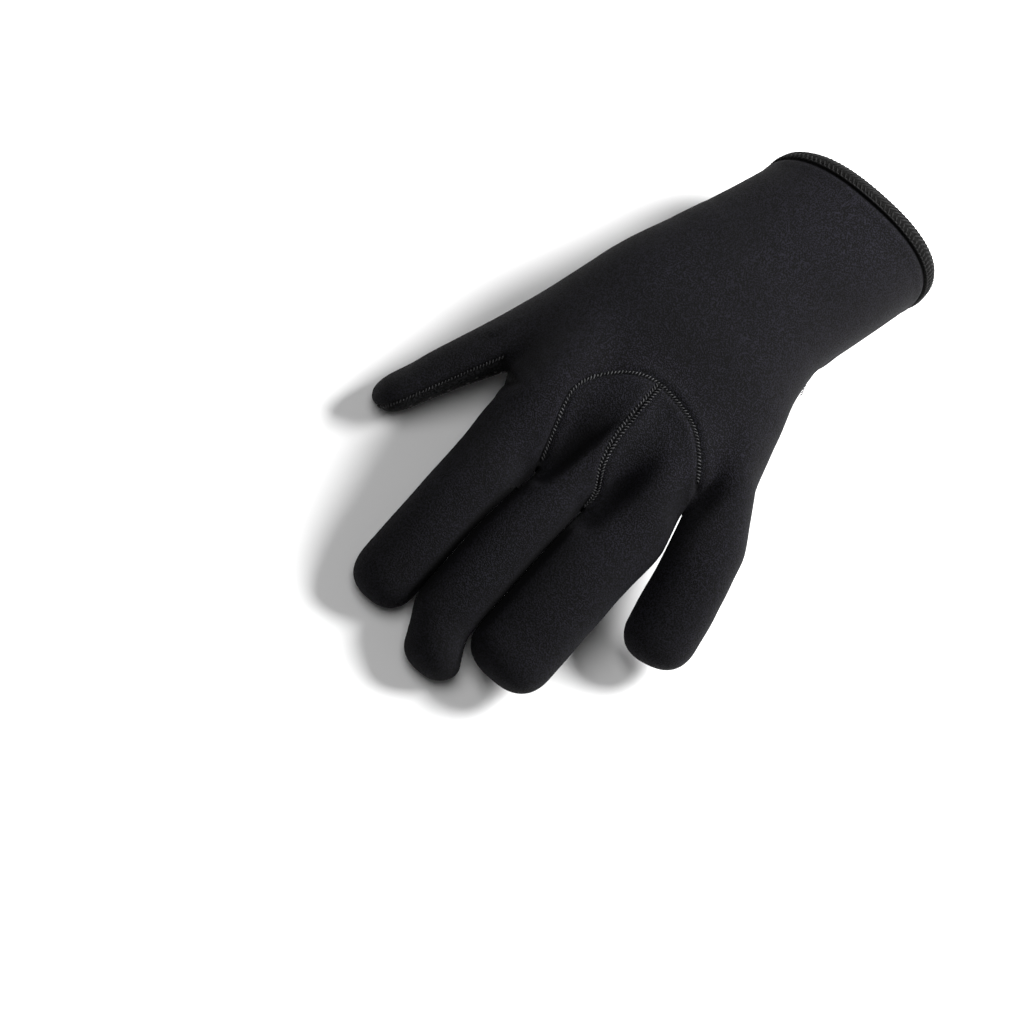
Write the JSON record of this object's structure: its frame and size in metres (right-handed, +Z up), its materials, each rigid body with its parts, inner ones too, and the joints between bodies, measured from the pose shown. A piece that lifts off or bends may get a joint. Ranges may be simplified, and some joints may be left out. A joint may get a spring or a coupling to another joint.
{
  "type": "diving glove",
  "caption": "Left-hand neoprene diving glove with a long cuff, curved fingers, an inset knuckle panel and a dotted grip palm, lying palm down",
  "frame": {"origin": "on the surface that the glove lies on, under the middle of the glove's box", "axes": "+X from the cuff to the fingertips, +Y towards the little finger, +Z up off the back of the hand"},
  "size_m": [0.2484, 0.1546, 0.0628],
  "materials": {
    "neoprene": "fine jersey over neoprene foam, matt black",
    "grip_fabric": "coarser knit with raised rubber grip dots, black",
    "hem": "turned and overlocked edge, black"
  },
  "bodies": {
    "root": {"main_panel": "neoprene", "middle_back": "neoprene", "ring_back": "neoprene", "palm_panel": "grip_fabric", "cuff_binding": "hem"}
  },
  "joints": []
}
